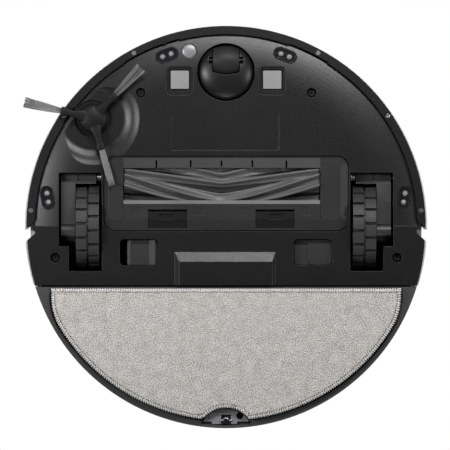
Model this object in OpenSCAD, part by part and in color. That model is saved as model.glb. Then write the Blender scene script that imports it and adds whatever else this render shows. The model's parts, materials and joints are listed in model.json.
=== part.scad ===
// Robot vacuum cleaner with a rear mop module.
// +Z is up, the floor is z = 0, the bumper faces -Y, and the origin is on the
// floor below the middle of the body. All sizes are in millimetres.

/* [Body] */
// Outer radius of the white shell
shell_r = 175; // [174:0.5:177]
// Height of the underside above the floor
clear_z = 10; // [9:0.5:11]
// Height of the top deck
deck_z = 80; // [79:0.5:82]
// Height of the top of the lidar turret
turret_z = 97; // [96:0.5:100]
// Thickness of the moulded walls
wall = 2; // [1.8:0.1:2.2]

/* [Drive wheels] */
// Radius of a drive wheel over its lugs
wheel_r = 36; // [35.5:0.1:36.2]
// Distance of a wheel's middle from the centre line
wheel_x = 120.5; // [120.3:0.1:120.7]
// Number of lugs in one row of the tyre
lugs = 18; // [14:1:20]
// Height of the suspension pivot
pivot_z = 24; // [23:0.5:25]

/* [Caster] */
// Radius of the front caster wheel
caster_r = 12.5; // [12:0.1:12.6]
// Trail of the caster wheel behind its swivel
caster_trail = 10.4; // [10:0.1:10.5]

/* [Brushes] */
// Radius of the main brush over its blades
roller_r = 18; // [17:0.1:18]
// Height of the main brush axis
roller_z = 20.5; // [20.5:0.1:21]
// Number of times the blade pattern repeats round the main brush
blade_groups = 3; // [2:1:3]
// Reach of the side brush bristles
bristle_r = 61.5; // [58:0.5:61.5]

/* [Mop and bin] */
// Thickness of the mop pad
pad_t = 4.6; // [4:0.1:4.8]
// Half width of the dust bin
bin_half_w = 66; // [64:0.5:67]

/* [Bumper] */
// Height of the gap under the bumper skirt
skirt_z = 11.2; // [10.8:0.1:11.3]

/* [Hidden] */

// Tolerances
seat_gap = 1;         // between the brush guard and its seat
run = 0.05;           // radial clearance of a running fit
e = 1;                // overshoot of a cutting tool
far = 220;            // beyond the outside of the body

// Underside pan
plate_t = 2.6;
front_c = [0, -1];    // centre of the front rim and of the skirt
front_rim_r = 166.3;
slope_r = 130;        // where the underside starts to rise
rim_rise = 4.5;
rim_z = clear_z + rim_rise;
// Profile of the underside from there to the rim, curving up ever more steeply
pan_curve = [for (t = [0:0.1:1]) [slope_r + t * (front_rim_r - slope_r), clear_z + rim_rise * t * t]];
front_wall_r = 160;
rear_c = [0, 2];      // centre of the rear rim and of the tank
rear_r = 173.2;
seam_y = 51;          // joint between the chassis and the mop module
shell_t = 2.4;
shell_low_z = 16.4;   // lower edge of the white shell beside the chassis
rear_deck_z = 33;     // shelf between the tank and the dust bin
rear_deck_t = 2.4;
wall_top = 76;

// Notches between the bumper and the side shell
notch_x = 166.3;
bumper_end_y = -6.2;
shell_end_y = 5.9;

// Drive units
well_x0 = 108.1;
well_x1 = 145.5;
well_x2 = 136.8;
well_y0 = -47;
well_y1 = 17;
well_y2 = 38.7;
well_top = wheel_r * 2 + 1.2;
pivot_y = -43.3;
pin_r = 2.4;
tyre_w = 20;
lug_h = 3.4;
rim_r = wheel_r - 7;
axle_r = 4;
arm_x0 = 131.2;
arm_x1 = 143.7;

// Caster
caster_y = -134.5;
caster_well_r = 25.2;
fork_r = 24.2;
caster_w = 22.5;

// Main brush
roller_y = -37;
roller_x0 = -88.6;
roller_x1 = 81.3;
core_r = 12;
// Each blade's angle at the brush's ends and at its middle, 0 being straight down
blade_sweeps = [[-48.6, -3.5], [-30, 60], [2, 88.5]];
chamber_r = roller_r + 2;
chamber_x0 = -90.2;
chamber_x1 = 92.8;
guard_z = 7;
guard_x = 105.9;
guard_y0 = -60.7;
guard_y1 = 3.1;
guard_open_x0 = -89.3;
guard_open_x1 = 82;
guard_mid_x = -4.1;
latch_dx = 46.7;      // from the guard's middle to a latch
latch_half_w = 16.5;
block_top = 43;

// Side brush
side_x = -115.8;
side_y = -94.4;
side_hub_r = 13.5;
arm_angles = [-46, -167, 74];

// Dock ports
port_x0 = 58.8;
port_x1 = 92.4;
port_y0 = 10.7;
port_y1 = 33.8;

// Lidar turret
lidar_y = 6;
lidar_r = 37.5;

// Tank and mop
tank_z = 7.6;
tank_top = 31.6;
module_y = seam_y + 1.4;
pad_z = 0.4;
pad_side_x = 152.3;
pad_front_y = module_y + 0.6;
pad_arc_c = [0, -1];
pad_arc_r = 169.7;
groove_w = 1.4;       // shadow gap round the pad
// Corner arcs of the pad, from its upright sides to the rear arc
pad_corner_y = 60;
pad_rise = pad_corner_y - pad_arc_c[1];
pad_corner_r = (pow(pad_arc_r, 2) - pow(pad_side_x, 2) - pow(pad_rise, 2))
    / (2 * (pad_arc_r - pad_side_x));
pad_corner_x = pad_side_x - pad_corner_r;
pad_corner_extra = 0.1;  // the corner arcs cross the sides and the rear arc instead of grazing them
cut_c = [0, 181.8];
cut_r = 24.3;
dowel_site = [12, 164.4];

// Bin
bin_y0 = 50;
bin_z0 = 36.2;
bin_z1 = 75.6;
bin_front_wall_y = 46.6;

// Screws and small parts
screw_sites = [[74.3, -116.6], [-74.3, -116.6], [148.6, 27], [-148.6, 27]];
bumper_screw_sites = [[80.2, -151.1], [141, -96.5], [169.8, -14.2]];
contact_x = 40.2;
contact_y = -127.9;
contact_z = clear_z + 0.8;
front_cliff = [51.5, -149.2];
front_cliff_tilt = 20;
side_cliff = [155.3, -25.2];
side_cliff_tilt = 80;
carpet_site = [-32, -152.6];
button_x = 14;
button_y = -74;
button_r = 9;
fan_site = [103, 88];
fan_r = 29;

// ---------- shared shapes ----------

module both_sides() {
    children();
    mirror([1, 0, 0]) children();
}

module rounded_rect(x0, y0, x1, y1, r) {
    hull() {
        for (x = [x0 + r, x1 - r], y = [y0 + r, y1 - r]) translate([x, y]) circle(r, $fn = 32);
    }
}

module slot_2d(length, width) {
    translate([-(length - width) / 2, -width / 2]) square([length - width, width]);
    for (s = [-1, 1]) translate([s * (length - width) / 2, 0]) circle(d = width, $fn = 48);
}

module along_x(x0, x1) {
    translate([x0, 0, 0]) rotate([90, 0, 90]) linear_extrude(x1 - x0) children();
}

module rod_x(x0, x1, y, z, r) {
    translate([x0, y, z]) rotate([0, 90, 0]) cylinder(h = x1 - x0, r = r, $fn = 64);
}

module block(x0, x1, y0, y1, z0, z1) {
    translate([x0, y0, z0]) cube([x1 - x0, y1 - y0, z1 - z0]);
}

// Everything in front of the bumper's two slanted ends
module front_clip_2d() {
    polygon([
        [-far, -far], [far, -far],
        [far, bumper_end_y + (far - notch_x)],
        [notch_x - 14, bumper_end_y - 14], [14 - notch_x, bumper_end_y - 14],
        [-far, bumper_end_y + (far - notch_x)],
    ]);
}

// Everything behind the slanted front ends of the side shell
module rear_clip_2d() {
    polygon([
        [-far, far], [far, far],
        [far, shell_end_y + (far - notch_x) * 0.87],
        [notch_x, shell_end_y], [notch_x, -1], [-notch_x, -1], [-notch_x, shell_end_y],
        [-far, shell_end_y + (far - notch_x) * 0.87],
    ]);
}

module ring_2d(r_out, r_in) {
    difference() {
        circle(r_out, $fn = 180);
        circle(r_in, $fn = 180);
    }
}

// ---------- chassis ----------

module front_pan() {
    intersection() {
        translate([front_c[0], front_c[1], 0]) rotate_extrude($fn = 180)
            polygon(concat([[0, clear_z]], pan_curve, [
                [front_rim_r, rim_z + plate_t], [front_wall_r, rim_z + plate_t],
                [front_wall_r, wall_top], [front_wall_r - wall, wall_top],
                [front_wall_r - wall, clear_z + plate_t + 2.8], [slope_r, clear_z + plate_t],
                [0, clear_z + plate_t],
            ]));
        block(-far, far, -far, 0, 0, far);
    }
}

module rear_outline_2d(r) {
    intersection() {
        translate(rear_c) circle(r, $fn = 180);
        rear_clip_2d();
    }
}

module rear_pan() {
    band_y0 = -0.5;
    intersection() {
        union() {
            translate([0, 0, clear_z]) linear_extrude(plate_t) rear_outline_2d(rear_r);
            translate([0, 0, clear_z]) linear_extrude(6) difference() {
                rear_outline_2d(rear_r);
                translate(rear_c) circle(rear_r - 4, $fn = 180);
            }
            translate([0, 0, clear_z]) linear_extrude(wall_top - clear_z - 30) difference() {
                rear_outline_2d(rear_r - 3.4);
                translate(rear_c) circle(rear_r - 5.4, $fn = 180);
            }
        }
        block(-far, far, band_y0, seam_y, 0, far);
    }
    block(-notch_x, -notch_x + wall, -1, shell_end_y + 3, clear_z, 46);
    block(notch_x - wall, notch_x, -1, shell_end_y + 3, clear_z, 46);
}

// Shelf over the tank, with the walls of the dust bin's bay
module rear_shelf() {
    translate([0, 0, rear_deck_z]) linear_extrude(rear_deck_t) intersection() {
        translate(rear_c) circle(rear_r - 3.8, $fn = 180);
        translate([-far, seam_y - wall]) square([2 * far, far]);
    }
    block(-160, 160, seam_y - wall, seam_y, clear_z, rear_deck_z + 1);
    for (s = [-1, 1]) {
        x = s * (bin_half_w + 1.6 + wall / 2);
        block(x - wall / 2, x + wall / 2, bin_front_wall_y, 150, rear_deck_z + 1, wall_top);
    }
    block(-bin_half_w - 2, bin_half_w + 2, bin_front_wall_y, bin_front_wall_y + wall,
          rear_deck_z + 1, wall_top);
}

module wheel_well_outside() {
    block(well_x0 - wall, well_x1 + wall, well_y0 - wall, well_y1 + wall, clear_z, well_top + wall);
    block(well_x0 - wall, well_x2 + wall, well_y1, well_y2 + wall, clear_z, well_top + wall);
}

module wheel_well_inside() {
    block(well_x0, well_x1, well_y0, well_y1, 0, well_top);
    block(well_x0, well_x2, well_y1 - e, well_y2, 0, well_top);
}

module port_chute_outside() {
    block(port_x0 - wall, port_x1 + wall, port_y0 - wall, port_y1 + wall, clear_z, 50);
    block(46, port_x1 + wall, port_y1, bin_front_wall_y + wall, rear_deck_z + 1, 50);
}

module port_chute_inside() {
    translate([0, 0, clear_z - e]) linear_extrude(48 - clear_z + e)
        rounded_rect(port_x0, port_y0, port_x1, port_y1, 4);
    block(46 + wall, port_x1, port_y1 - 6, bin_front_wall_y + wall + e, 38, 48);
}

module brush_chamber_inside() {
    rod_x(chamber_x0, chamber_x1, roller_y, roller_z, chamber_r);
    block(chamber_x0, chamber_x1, roller_y - chamber_r, roller_y + chamber_r, 0, roller_z);
    translate([0, 0, clear_z - e]) linear_extrude(e + 2.2)
        rounded_rect(-guard_x - seat_gap, guard_y0 - seat_gap,
                     guard_x + seat_gap, guard_y1 + seat_gap, 10);
    block(-26, 26, roller_y, 12, 22, 40);
    for (s = [-1, 1]) {
        x = guard_mid_x + s * latch_dx;
        block(x - latch_half_w - 0.5, x + latch_half_w + 0.5, -15.4, 1.6, 0, 17);
    }
}

// A dish with two soft waves down to the flat ring round the side brush
module side_brush_dish() {
    outer_r = 43;
    ring_r = 25;
    wave = 9.5;
    z_ring = clear_z + 3.6;
    slope = [for (t = [0:1/14:1]) let (r = outer_r + t * (ring_r - outer_r))
        [r, clear_z + (z_ring - clear_z) * t * t * (3 - 2 * t) - 0.18 * sin(360 * (r - 30) / wave)]];
    translate([side_x, side_y, 0]) rotate_extrude($fn = 96) polygon(concat(
        [[0, 0], [outer_r, 0]], slope,
        [[ring_r - 1, z_ring], [16, z_ring], [16, z_ring + 2], [0, z_ring + 2]]
    ));
}

// Raised step before the mop module, with sloping front and sides
module step_boss() {
    z_step = 3;
    x0 = -44.6;
    x1 = 42.9;
    polyhedron(
        points = [
            [x0, 22, clear_z + 1], [x1, 22, clear_z + 1], [x1, seam_y, clear_z + 1],
            [x0, seam_y, clear_z + 1],
            [x0, 22, clear_z], [x1, 22, clear_z], [x1, seam_y, clear_z], [x0, seam_y, clear_z],
            [x0 + 4, 30.5, clear_z - z_step], [x1 - 2.6, 30.5, clear_z - z_step],
            [x1 - 2.6, seam_y, clear_z - z_step], [x0 + 4, seam_y, clear_z - z_step],
        ],
        faces = [
            [3, 2, 1, 0], [0, 1, 5, 4], [1, 2, 6, 5], [3, 0, 4, 7],
            [4, 5, 9, 8], [5, 6, 10, 9], [7, 4, 8, 11],
            [2, 3, 7, 11, 10, 6], [8, 9, 10, 11],
        ]
    );
}

module cliff_pocket(site, tilt, grow) {
    translate([site[0], site[1], 0]) rotate([0, 0, tilt])
        linear_extrude(30) slot_2d(21 + 2 * grow, 11.5 + 2 * grow);
}

module chassis() {
    color([0.16, 0.16, 0.17]) difference() {
        union() {
            front_pan();
            rear_pan();
            rear_shelf();
            both_sides() {
                wheel_well_outside();
                port_chute_outside();
            }
            translate([0, caster_y, clear_z])
                cylinder(h = 44, r = caster_well_r + wall, $fn = 96);
            block(-guard_x, guard_x, guard_y0 - 2, guard_y1 + 2, clear_z, block_top);
            translate([side_x, side_y, clear_z]) intersection() {
                cylinder(h = 8, r = 45, $fn = 96);
                translate([-side_x, -side_y - 1, 0]) cylinder(h = 8, r = front_wall_r - 1, $fn = 180);
            }
            for (s = [-1, 1]) block(s * contact_x - 14, s * contact_x + 14, contact_y - 13,
                                    contact_y + 15, clear_z, clear_z + 7);
            for (p = screw_sites) translate([p[0], p[1], clear_z]) cylinder(h = 12, r = 6, $fn = 48);
            step_boss();
            for (p = [[front_cliff, -front_cliff_tilt], [side_cliff, side_cliff_tilt]])
                for (s = [-1, 1])
                    intersection() {
                        translate([s * p[0][0], p[0][1], clear_z]) rotate([0, 0, -s * p[1]])
                            linear_extrude(10) slot_2d(26, 16);
                        translate([0, -1, 0]) cylinder(h = 40, r = front_wall_r + 3, $fn = 180);
                    }
            translate([carpet_site[0], carpet_site[1], clear_z]) cylinder(h = 12, r = 9, $fn = 48);
        }
        // The sloping rim stays clear of the added bosses
        intersection() {
            translate([front_c[0], front_c[1], 0]) rotate_extrude($fn = 180)
                polygon(concat([[slope_r, 0]], pan_curve, [[far, rim_z + 14], [far, 0]]));
            block(-far, far, -far, -0.5, 0, far);
        }
        both_sides() {
            wheel_well_inside();
            port_chute_inside();
            rod_x(well_x0 - 1.2, well_x1 + 1.2, pivot_y, pivot_z, pin_r);
        }
        translate([0, caster_y, 0]) cylinder(h = 52, r = caster_well_r, $fn = 96);
        brush_chamber_inside();
        // Pocket of the main brush gearbox and of the brush bearing
        block(92.6, 104.2, -53, -1.6, 13, block_top + e);
        block(-99, -90, roller_y - 9, roller_y + 9, 12.4, roller_z + 9);
        side_brush_dish();
        translate([side_x, side_y, 0]) cylinder(h = 30, r = 4.5, $fn = 48);
        for (s = [-1, 1]) {
            translate([s * contact_x, contact_y + 0.9, 0]) linear_extrude(contact_z + 1.2)
                rounded_rect(-11.7, -12.4, 11.7, 12.4, 5);
            translate([s * contact_x, contact_y, 0]) linear_extrude(contact_z + 3.8)
                rounded_rect(-9.4, -9.4, 9.4, 9.4, 3);
        }
        for (p = screw_sites) translate([p[0], p[1], 0]) {
            cylinder(h = clear_z + 6, r = 4.2, $fn = 48);
            cylinder(h = 40, r = 1.6, $fn = 32);
        }
        for (s = [-1, 1]) {
            cliff_pocket([s * front_cliff[0], front_cliff[1]], s * front_cliff_tilt, 0);
            cliff_pocket([s * side_cliff[0], side_cliff[1]], -s * side_cliff_tilt, 0);
        }
        translate([carpet_site[0], carpet_site[1], 0]) cylinder(h = 40, r = 6.7, $fn = 48);
        // Shallow recess of the rating plate
        block(-47.6, 46, -98.4, -66.5, 0, clear_z + 0.4);
        // Vacuum duct and lower edges of the bin's inlets
        block(-26, 26, bin_front_wall_y - e, bin_front_wall_y + wall + e, 42, 60);
    }
}

module chassis_screws() {
    color([0.35, 0.35, 0.36]) for (p = screw_sites) translate([p[0], p[1], 0]) difference() {
        union() {
            translate([0, 0, clear_z + 3.6]) cylinder(h = 2.4, r = 3, $fn = 32);
            translate([0, 0, clear_z + 6]) cylinder(h = 8, r = 1.55, $fn = 32);
        }
        for (a = [0, 90]) rotate([0, 0, a]) block(-1.8, 1.8, -0.4, 0.4, clear_z, clear_z + 4.8);
    }
}

// ---------- outer casing ----------

module top_plate() {
    r = shell_r - 1.6;
    color([0.93, 0.93, 0.92]) difference() {
        rotate_extrude($fn = 180) {
            translate([0, deck_z - 2.6]) square([r - 4, 2.6]);
            intersection() {
                translate([r - 5, deck_z - 5]) circle(5, $fn = 64);
                translate([r - 5, deck_z - 2.6]) square([5, 2.6]);
            }
        }
        translate([0, lidar_y, 0]) cylinder(h = far, r = lidar_r + 0.3, $fn = 96);
        for (s = [-1, 1]) translate([s * button_x, button_y, 0])
            cylinder(h = far, r = button_r + (s < 0 ? 2.1 : 0.3), $fn = 64);
    }
}

module side_shell() {
    color([0.93, 0.93, 0.92]) difference() {
        union() {
            translate([0, 0, shell_low_z]) linear_extrude(deck_z - 3 - shell_low_z) intersection() {
                ring_2d(shell_r, shell_r - shell_t);
                rear_clip_2d();
                translate([-far, 0]) square([2 * far, seam_y]);
            }
            translate([0, 0, rear_deck_z + 1]) linear_extrude(deck_z - 3 - rear_deck_z - 1) intersection() {
                ring_2d(shell_r, shell_r - shell_t);
                translate([-far, seam_y - e]) square([2 * far, far]);
            }
        }
        block(-bin_half_w - 0.8, bin_half_w + 0.8, 0, far, rear_deck_z, bin_z1 + 0.6);
    }
}

module lidar_base() {
    color([0.1, 0.1, 0.1]) translate([0, lidar_y, 0]) {
        difference() {
            union() {
                translate([0, 0, 63]) cylinder(h = deck_z - 63, r = lidar_r, $fn = 96);
                translate([0, 0, deck_z]) cylinder(h = 2.4, r = 43, $fn = 96);
            }
            translate([0, 0, 66]) cylinder(h = 40, r = lidar_r - 2, $fn = 96);
            translate([0, 0, 60]) cylinder(h = 20, r = 3 + run, $fn = 48);
        }
        for (a = [45:90:315]) rotate([0, 0, a])
            translate([36, -3, deck_z + 2.4]) cube([4, 6, 10.4]);
    }
}

module lidar_rotor() {
    color([0.06, 0.06, 0.06]) translate([0, lidar_y, 0]) difference() {
        union() {
            translate([0, 0, 68]) cylinder(h = 23.6, r = 33.5, $fn = 96);
            translate([0, 0, 63.4]) cylinder(h = 5, r = 3, $fn = 48);
        }
        for (s = [-1, 1]) translate([s * 12, -32, deck_z + 5]) rotate([90, 0, 0])
            cylinder(h = 6, r = 4.6, $fn = 48);
    }
}

module lidar_cap() {
    z0 = deck_z + 12.8;
    color([0.12, 0.12, 0.12]) translate([0, lidar_y, 0]) rotate_extrude($fn = 96) polygon([
        [0, z0], [42, z0], [43, z0 + 1], [43, turret_z - 1.4], [41.6, turret_z],
        [30, turret_z], [29, turret_z - 0.5], [0, turret_z - 0.5],
    ]);
}

module round_button(x) {
    translate([x, button_y, 0]) rotate_extrude($fn = 64) polygon([
        [0, deck_z - 5], [3, deck_z - 5], [3, deck_z - 2], [button_r, deck_z - 2],
        [button_r, deck_z], [button_r - 0.6, deck_z + 0.4], [0, deck_z + 0.4],
    ]);
}

module power_button() {
    color([0.85, 0.85, 0.85]) round_button(-button_x);
}

module home_button() {
    color([0.85, 0.85, 0.85]) round_button(button_x);
}

module status_light() {
    color([0.75, 0.85, 0.95]) translate([-button_x, button_y, deck_z - 2.6])
        linear_extrude(2.6) ring_2d(button_r + 2.1, button_r + 0.4);
}

// ---------- bumper ----------

module bumper_cover() {
    z0 = skirt_z + 2.4;
    z1 = deck_z - 3.2;
    color([0.93, 0.93, 0.92]) difference() {
        union() {
            translate([0, 0, z0]) linear_extrude(z1 - z0) intersection() {
                ring_2d(shell_r, shell_r - shell_t);
                front_clip_2d();
            }
            translate([0, 0, z1 - 1.8]) linear_extrude(1.8) intersection() {
                ring_2d(shell_r - 1, shell_r - 9);
                front_clip_2d();
            }
        }
        translate([0, 0, 39]) linear_extrude(18) intersection() {
            ring_2d(far, shell_r - 1.6);
            polygon([[0, 0], [-far, -far * 0.9], [-far, -far * 2], [far, -far * 2], [far, -far * 0.9]]);
        }
    }
}

module bumper_window() {
    color([0.05, 0.04, 0.05]) translate([0, 0, 39.2]) linear_extrude(17.6) intersection() {
        ring_2d(shell_r + 0.2, shell_r - 1.5);
        polygon([[0, -1], [-far, -far * 0.9 - 1], [-far, -far * 2], [far, -far * 2], [far, -far * 0.9 - 1]]);
    }
}

module bumper_skirt() {
    color([0.1, 0.1, 0.1]) difference() {
        union() {
            translate([front_c[0], front_c[1], skirt_z]) linear_extrude(2.2) intersection() {
                ring_2d(173.7, front_rim_r + 0.3);
                translate(-front_c) front_clip_2d();
            }
            translate([0, 0, skirt_z + 1]) linear_extrude(14) intersection() {
                ring_2d(shell_r - shell_t - 0.2, shell_r - shell_t - 1.4);
                front_clip_2d();
            }
        }
        both_sides() for (p = bumper_screw_sites) translate([p[0], p[1], 0]) {
            cylinder(h = skirt_z + 1.2, r = 2.2, $fn = 32);
            cylinder(h = 40, r = 1.1, $fn = 32);
        }
        // Long thin slits beside the rim
        for (a = [[-122, -109], [-108.2, -104], [-71, -58], [-148.5, -142], [-197, -186], [-352, -343]])
            translate([0, -1, 0]) rotate_extrude(angle = a[1] - a[0], start = a[0], $fn = 180)
                translate([front_rim_r, skirt_z - e]) square([1.3, 4]);
    }
}

module bumper_screws() {
    color([0.7, 0.7, 0.7]) both_sides() for (p = bumper_screw_sites)
        translate([p[0], p[1], 0]) difference() {
            union() {
                translate([0, 0, skirt_z + 0.1]) cylinder(h = 1.1, r = 2, $fn = 32);
                translate([0, 0, skirt_z + 1.2]) cylinder(h = 4, r = 1.05, $fn = 32);
            }
            block(-1.4, 1.4, -0.3, 0.3, skirt_z, skirt_z + 0.6);
        }
}

// A leaf spring on each side of the chassis wall that presses on the bumper
module bumper_springs() {
    leaf_r = 19;
    leaf_t = 0.7;
    sag = 8;
    color([0.7, 0.7, 0.72]) both_sides() translate(front_c) rotate([0, 0, -60]) {
        block(front_wall_r + 0.2, front_wall_r + 3, -3, 3, 30, 38);
        translate([front_wall_r + 2.6 + leaf_r, 0, 30]) linear_extrude(8) intersection() {
            ring_2d(leaf_r, leaf_r - leaf_t);
            translate([-leaf_r, -15]) square([sag, 30]);
        }
    }
}

// ---------- caster ----------

// Outline of the barrel-shaped caster wheel, or of the space round it
function barrel_points(half_w, grow) =
    [for (i = [-6:6]) let (x = i / 6 * half_w) [caster_r + grow - 2.4 * pow(x / half_w, 2), x]];

module caster_fork() {
    slot_w = caster_w / 2 + 0.7;
    color([0.14, 0.14, 0.14]) translate([0, caster_y, 0]) difference() {
        union() {
            rotate_extrude($fn = 96) {
                polygon(concat(
                    [for (t = [0:6:90]) [fork_r * sin(t), 15.5 - 8.5 * cos(t)]],
                    [[fork_r, 30], [fork_r - 3, 33], [0, 33]]
                ));
            }
            translate([0, 0, 32]) cylinder(h = 18, r = 4, $fn = 48);
        }
        translate([0, -caster_trail, caster_r]) rotate([0, 90, 0]) rotate_extrude($fn = 96)
            polygon(concat([[0, -slot_w]], barrel_points(slot_w, 1.2), [[0, slot_w]]));
        block(-slot_w, slot_w, -30, -caster_trail, 0, caster_r * 2 + 2);
        rod_x(-17.1, 17.1, -caster_trail, caster_r, 1.5);
        for (s = [-1, 1])
            block(s * 13.2 - 2, s * 13.2 + 2, -caster_trail - 2.8, -caster_trail + 2.8, 0, caster_r + 2);
    }
}

module caster_wheel() {
    w = caster_w / 2;
    color([0.2, 0.2, 0.2]) translate([0, caster_y - caster_trail, caster_r])
        rotate([0, 90, 0]) rotate_extrude($fn = 96)
            polygon(concat([[1.5 + run, -w]], barrel_points(w, 0), [[1.5 + run, w]]));
}

module caster_axle() {
    color([0.75, 0.75, 0.77]) rod_x(-17, 17, caster_y - caster_trail, caster_r, 1.5);
}

// ---------- main brush ----------

module brush_core() {
    color([0.13, 0.13, 0.13]) {
        rod_x(roller_x0, roller_x1, roller_y, roller_z, core_r);
        rod_x(-97.6, roller_x0 + e, roller_y, roller_z, 4);
        rod_x(roller_x1 - e, 101, roller_y, roller_z, 5);
    }
}

// Half of one blade, swept from the middle of the brush to its right-hand end
module blade_half(length, end_angle, mid_angle) {
    rotate([0, 90, 0]) linear_extrude(height = length, twist = mid_angle - end_angle, slices = 8)
        rotate(mid_angle) polygon([
            [core_r - 0.8, -2.6], [core_r + 1.4, -1.5], [roller_r, -0.8],
            [roller_r, 0.8], [core_r + 1.4, 1.5], [core_r - 0.8, 2.6],
        ]);
}

module brush_blades() {
    mid = (roller_x0 + roller_x1) / 2;
    half = (roller_x1 - roller_x0) / 2;
    color([0.35, 0.35, 0.36]) difference() {
        translate([mid, roller_y, roller_z]) for (g = [0:blade_groups - 1], b = blade_sweeps) {
            turn = g * 360 / blade_groups;
            blade_half(half, turn + b[0], turn + b[1]);
            mirror([1, 0, 0]) blade_half(half, turn + b[0], turn + b[1]);
        }
        rod_x(roller_x0 - e, roller_x1 + e, roller_y, roller_z, core_r);
    }
}

module brush_bearing() {
    color([0.3, 0.3, 0.3]) difference() {
        block(-98.6, -90.4, roller_y - 8.6, roller_y + 8.6, 12.8, roller_z + 8.6);
        rod_x(-99, -90, roller_y, roller_z, 4 + run);
    }
}

module brush_guard() {
    z1 = clear_z + 1.8;
    color([0.15, 0.15, 0.16]) difference() {
        hull() {
            translate([0, 0, z1 - 1.6]) linear_extrude(1.6)
                rounded_rect(-guard_x, guard_y0, guard_x, guard_y1, 9);
            translate([0, 0, guard_z]) linear_extrude(1)
                rounded_rect(3.5 - guard_x, guard_y0 + 2.6, guard_x - 6.4, guard_y1 - 9, 6);
        }
        block(guard_open_x0, guard_open_x1, -59.7, -19.8, 0, 20);
        for (s = [-1, 1]) {
            x = guard_mid_x + s * latch_dx;
            block(x - latch_half_w - 0.4, x + latch_half_w + 0.4, -15, 1.3, 0, 20);
            for (dx = [19, 72.8]) translate([guard_mid_x + s * dx, 0, 0])
                block(-3.8, 3.8, -16.7, -9.8, 0, guard_z + 0.5);
        }
        // Grooves where the end caps meet the middle
        for (x = [guard_open_x0, guard_open_x1]) block(x - 0.35, x + 0.35, -25, guard_y1, 0, guard_z + 0.6);
    }
    // Comb bar in front of the brush, with thin slots
    color([0.2, 0.2, 0.2]) difference() {
        along_x(guard_open_x0 - e, guard_open_x1 + e) polygon([
            [-60, guard_z + 2.2], [-50.9, guard_z], [-50.9, guard_z + 1], [-60, guard_z + 3.2],
        ]);
        for (x = [-60.6, -30.8, -4, 22.9, 52.5]) block(x - 0.65, x + 0.65, -57.6, -49, 0, guard_z + 4);
    }
}

module guard_strip() {
    color([0.6, 0.6, 0.6]) block(guard_open_x0 + 0.2, guard_open_x1 - 0.2, -22.9, -19.8, guard_z - 0.2,
                                 guard_z + 1.4);
}

module guard_latch(side) {
    x = guard_mid_x + side * latch_dx;
    grip_x = x + side * 1.2;
    color([0.12, 0.12, 0.12]) difference() {
        union() {
            along_x(x - latch_half_w, x + latch_half_w) polygon([
                [-13.1, guard_z + 0.3], [-6.6, guard_z + 0.3], [0.9, guard_z + 2.4],
                [0.9, guard_z + 4.2], [-13.1, guard_z + 2.6],
            ]);
            block(x - 10, x + 10, 0, 0.9, guard_z + 2.2, clear_z + 5);
        }
        block(grip_x - 6.2, grip_x + 6.2, -11.4, -6.2, 0, guard_z + 1.8);
    }
}

module guard_latch_left() {
    guard_latch(-1);
}

module guard_latch_right() {
    guard_latch(1);
}

// ---------- side brush ----------

module side_brush_hub() {
    arm_z = 4.2;
    color([0.16, 0.16, 0.16]) translate([side_x, side_y, 0]) {
        difference() {
            union() {
                rotate_extrude($fn = 64) polygon(concat(
                    [for (t = [0:9:90]) [side_hub_r * sin(t), 8 - 4.6 * cos(t)]],
                    [[side_hub_r, clear_z + 4.4], [0, clear_z + 4.4]]
                ));
                for (a = arm_angles) rotate([0, 0, a])
                    block(6, 28.5, -3.2, 3.2, arm_z, arm_z + 3.6);
            }
            translate([0, 0, 7.6]) cylinder(h = 20, r = 3 + run, $fn = 48);
        }
    }
}

// Each tuft is a thin fan that widens towards its tip and leans on the floor
module side_brush_bristles() {
    color([0.65, 0.65, 0.66]) translate([side_x, side_y, 0]) for (a = arm_angles)
        rotate([0, 0, a]) polyhedron(
            points = [
                [28.5, -2.6, 4.6], [28.5, 2.6, 4.6], [28.5, 2.6, 7.2], [28.5, -2.6, 7.2],
                [bristle_r, -4.7, 0.8], [bristle_r, 4.7, 0.8], [bristle_r, 4.7, 2], [bristle_r, -4.7, 2],
            ],
            faces = [
                [0, 1, 2, 3], [7, 6, 5, 4], [0, 4, 5, 1], [1, 5, 6, 2], [2, 6, 7, 3], [3, 7, 4, 0],
            ]
        );
}

// The motor stands beside the output shaft, over a flat gearbox
module side_brush_motor() {
    mx = -97;
    my = -80;
    color([0.55, 0.55, 0.57]) {
        translate([0, 0, clear_z + 8.4]) linear_extrude(11) union() {
            translate([side_x, side_y]) circle(8, $fn = 48);
            translate([mx, my]) circle(13, $fn = 64);
            polygon([
                [side_x - 5, side_y + 5], [side_x + 5, side_y - 5], [mx + 8, my - 8], [mx - 8, my + 8],
            ]);
        }
        translate([mx, my, clear_z + 19]) cylinder(h = 24, r = 11, $fn = 64);
        translate([side_x, side_y, 7.8]) cylinder(h = clear_z + 1, r = 3, $fn = 48);
    }
}

// ---------- inside parts ----------

module battery_case() {
    color([0.1, 0.12, 0.2]) difference() {
        block(-67.5, 67.5, -105.6, -64.4, 14, 55);
        block(-66, 66, -104.1, -65.9, 15.5, 56);
    }
}

module battery_cells() {
    r = 9.1;
    color([0.2, 0.45, 0.6]) for (s = [-1, 1], y = [-94.4, -75.6], z = [25, 43.6])
        rod_x(s < 0 ? -65.4 : 0.4, s < 0 ? -0.4 : 65.4, y, z, r);
}

module main_board() {
    color([0.05, 0.35, 0.2]) {
        block(-92, 92, -118, -46, 60, 61.6);
        block(-20, 0, -100, -80, 61.5, 63.6);
        block(14, 26, -96, -84, 61.5, 63.2);
        block(-70, -50, -114, -104, 61.5, 66);
        block(50, 74, -70, -58, 61.5, 67);
        for (x = [-84:14:-42]) translate([x, -64, 61.5]) cylinder(h = 7, r = 4, $fn = 32);
    }
}

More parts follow.
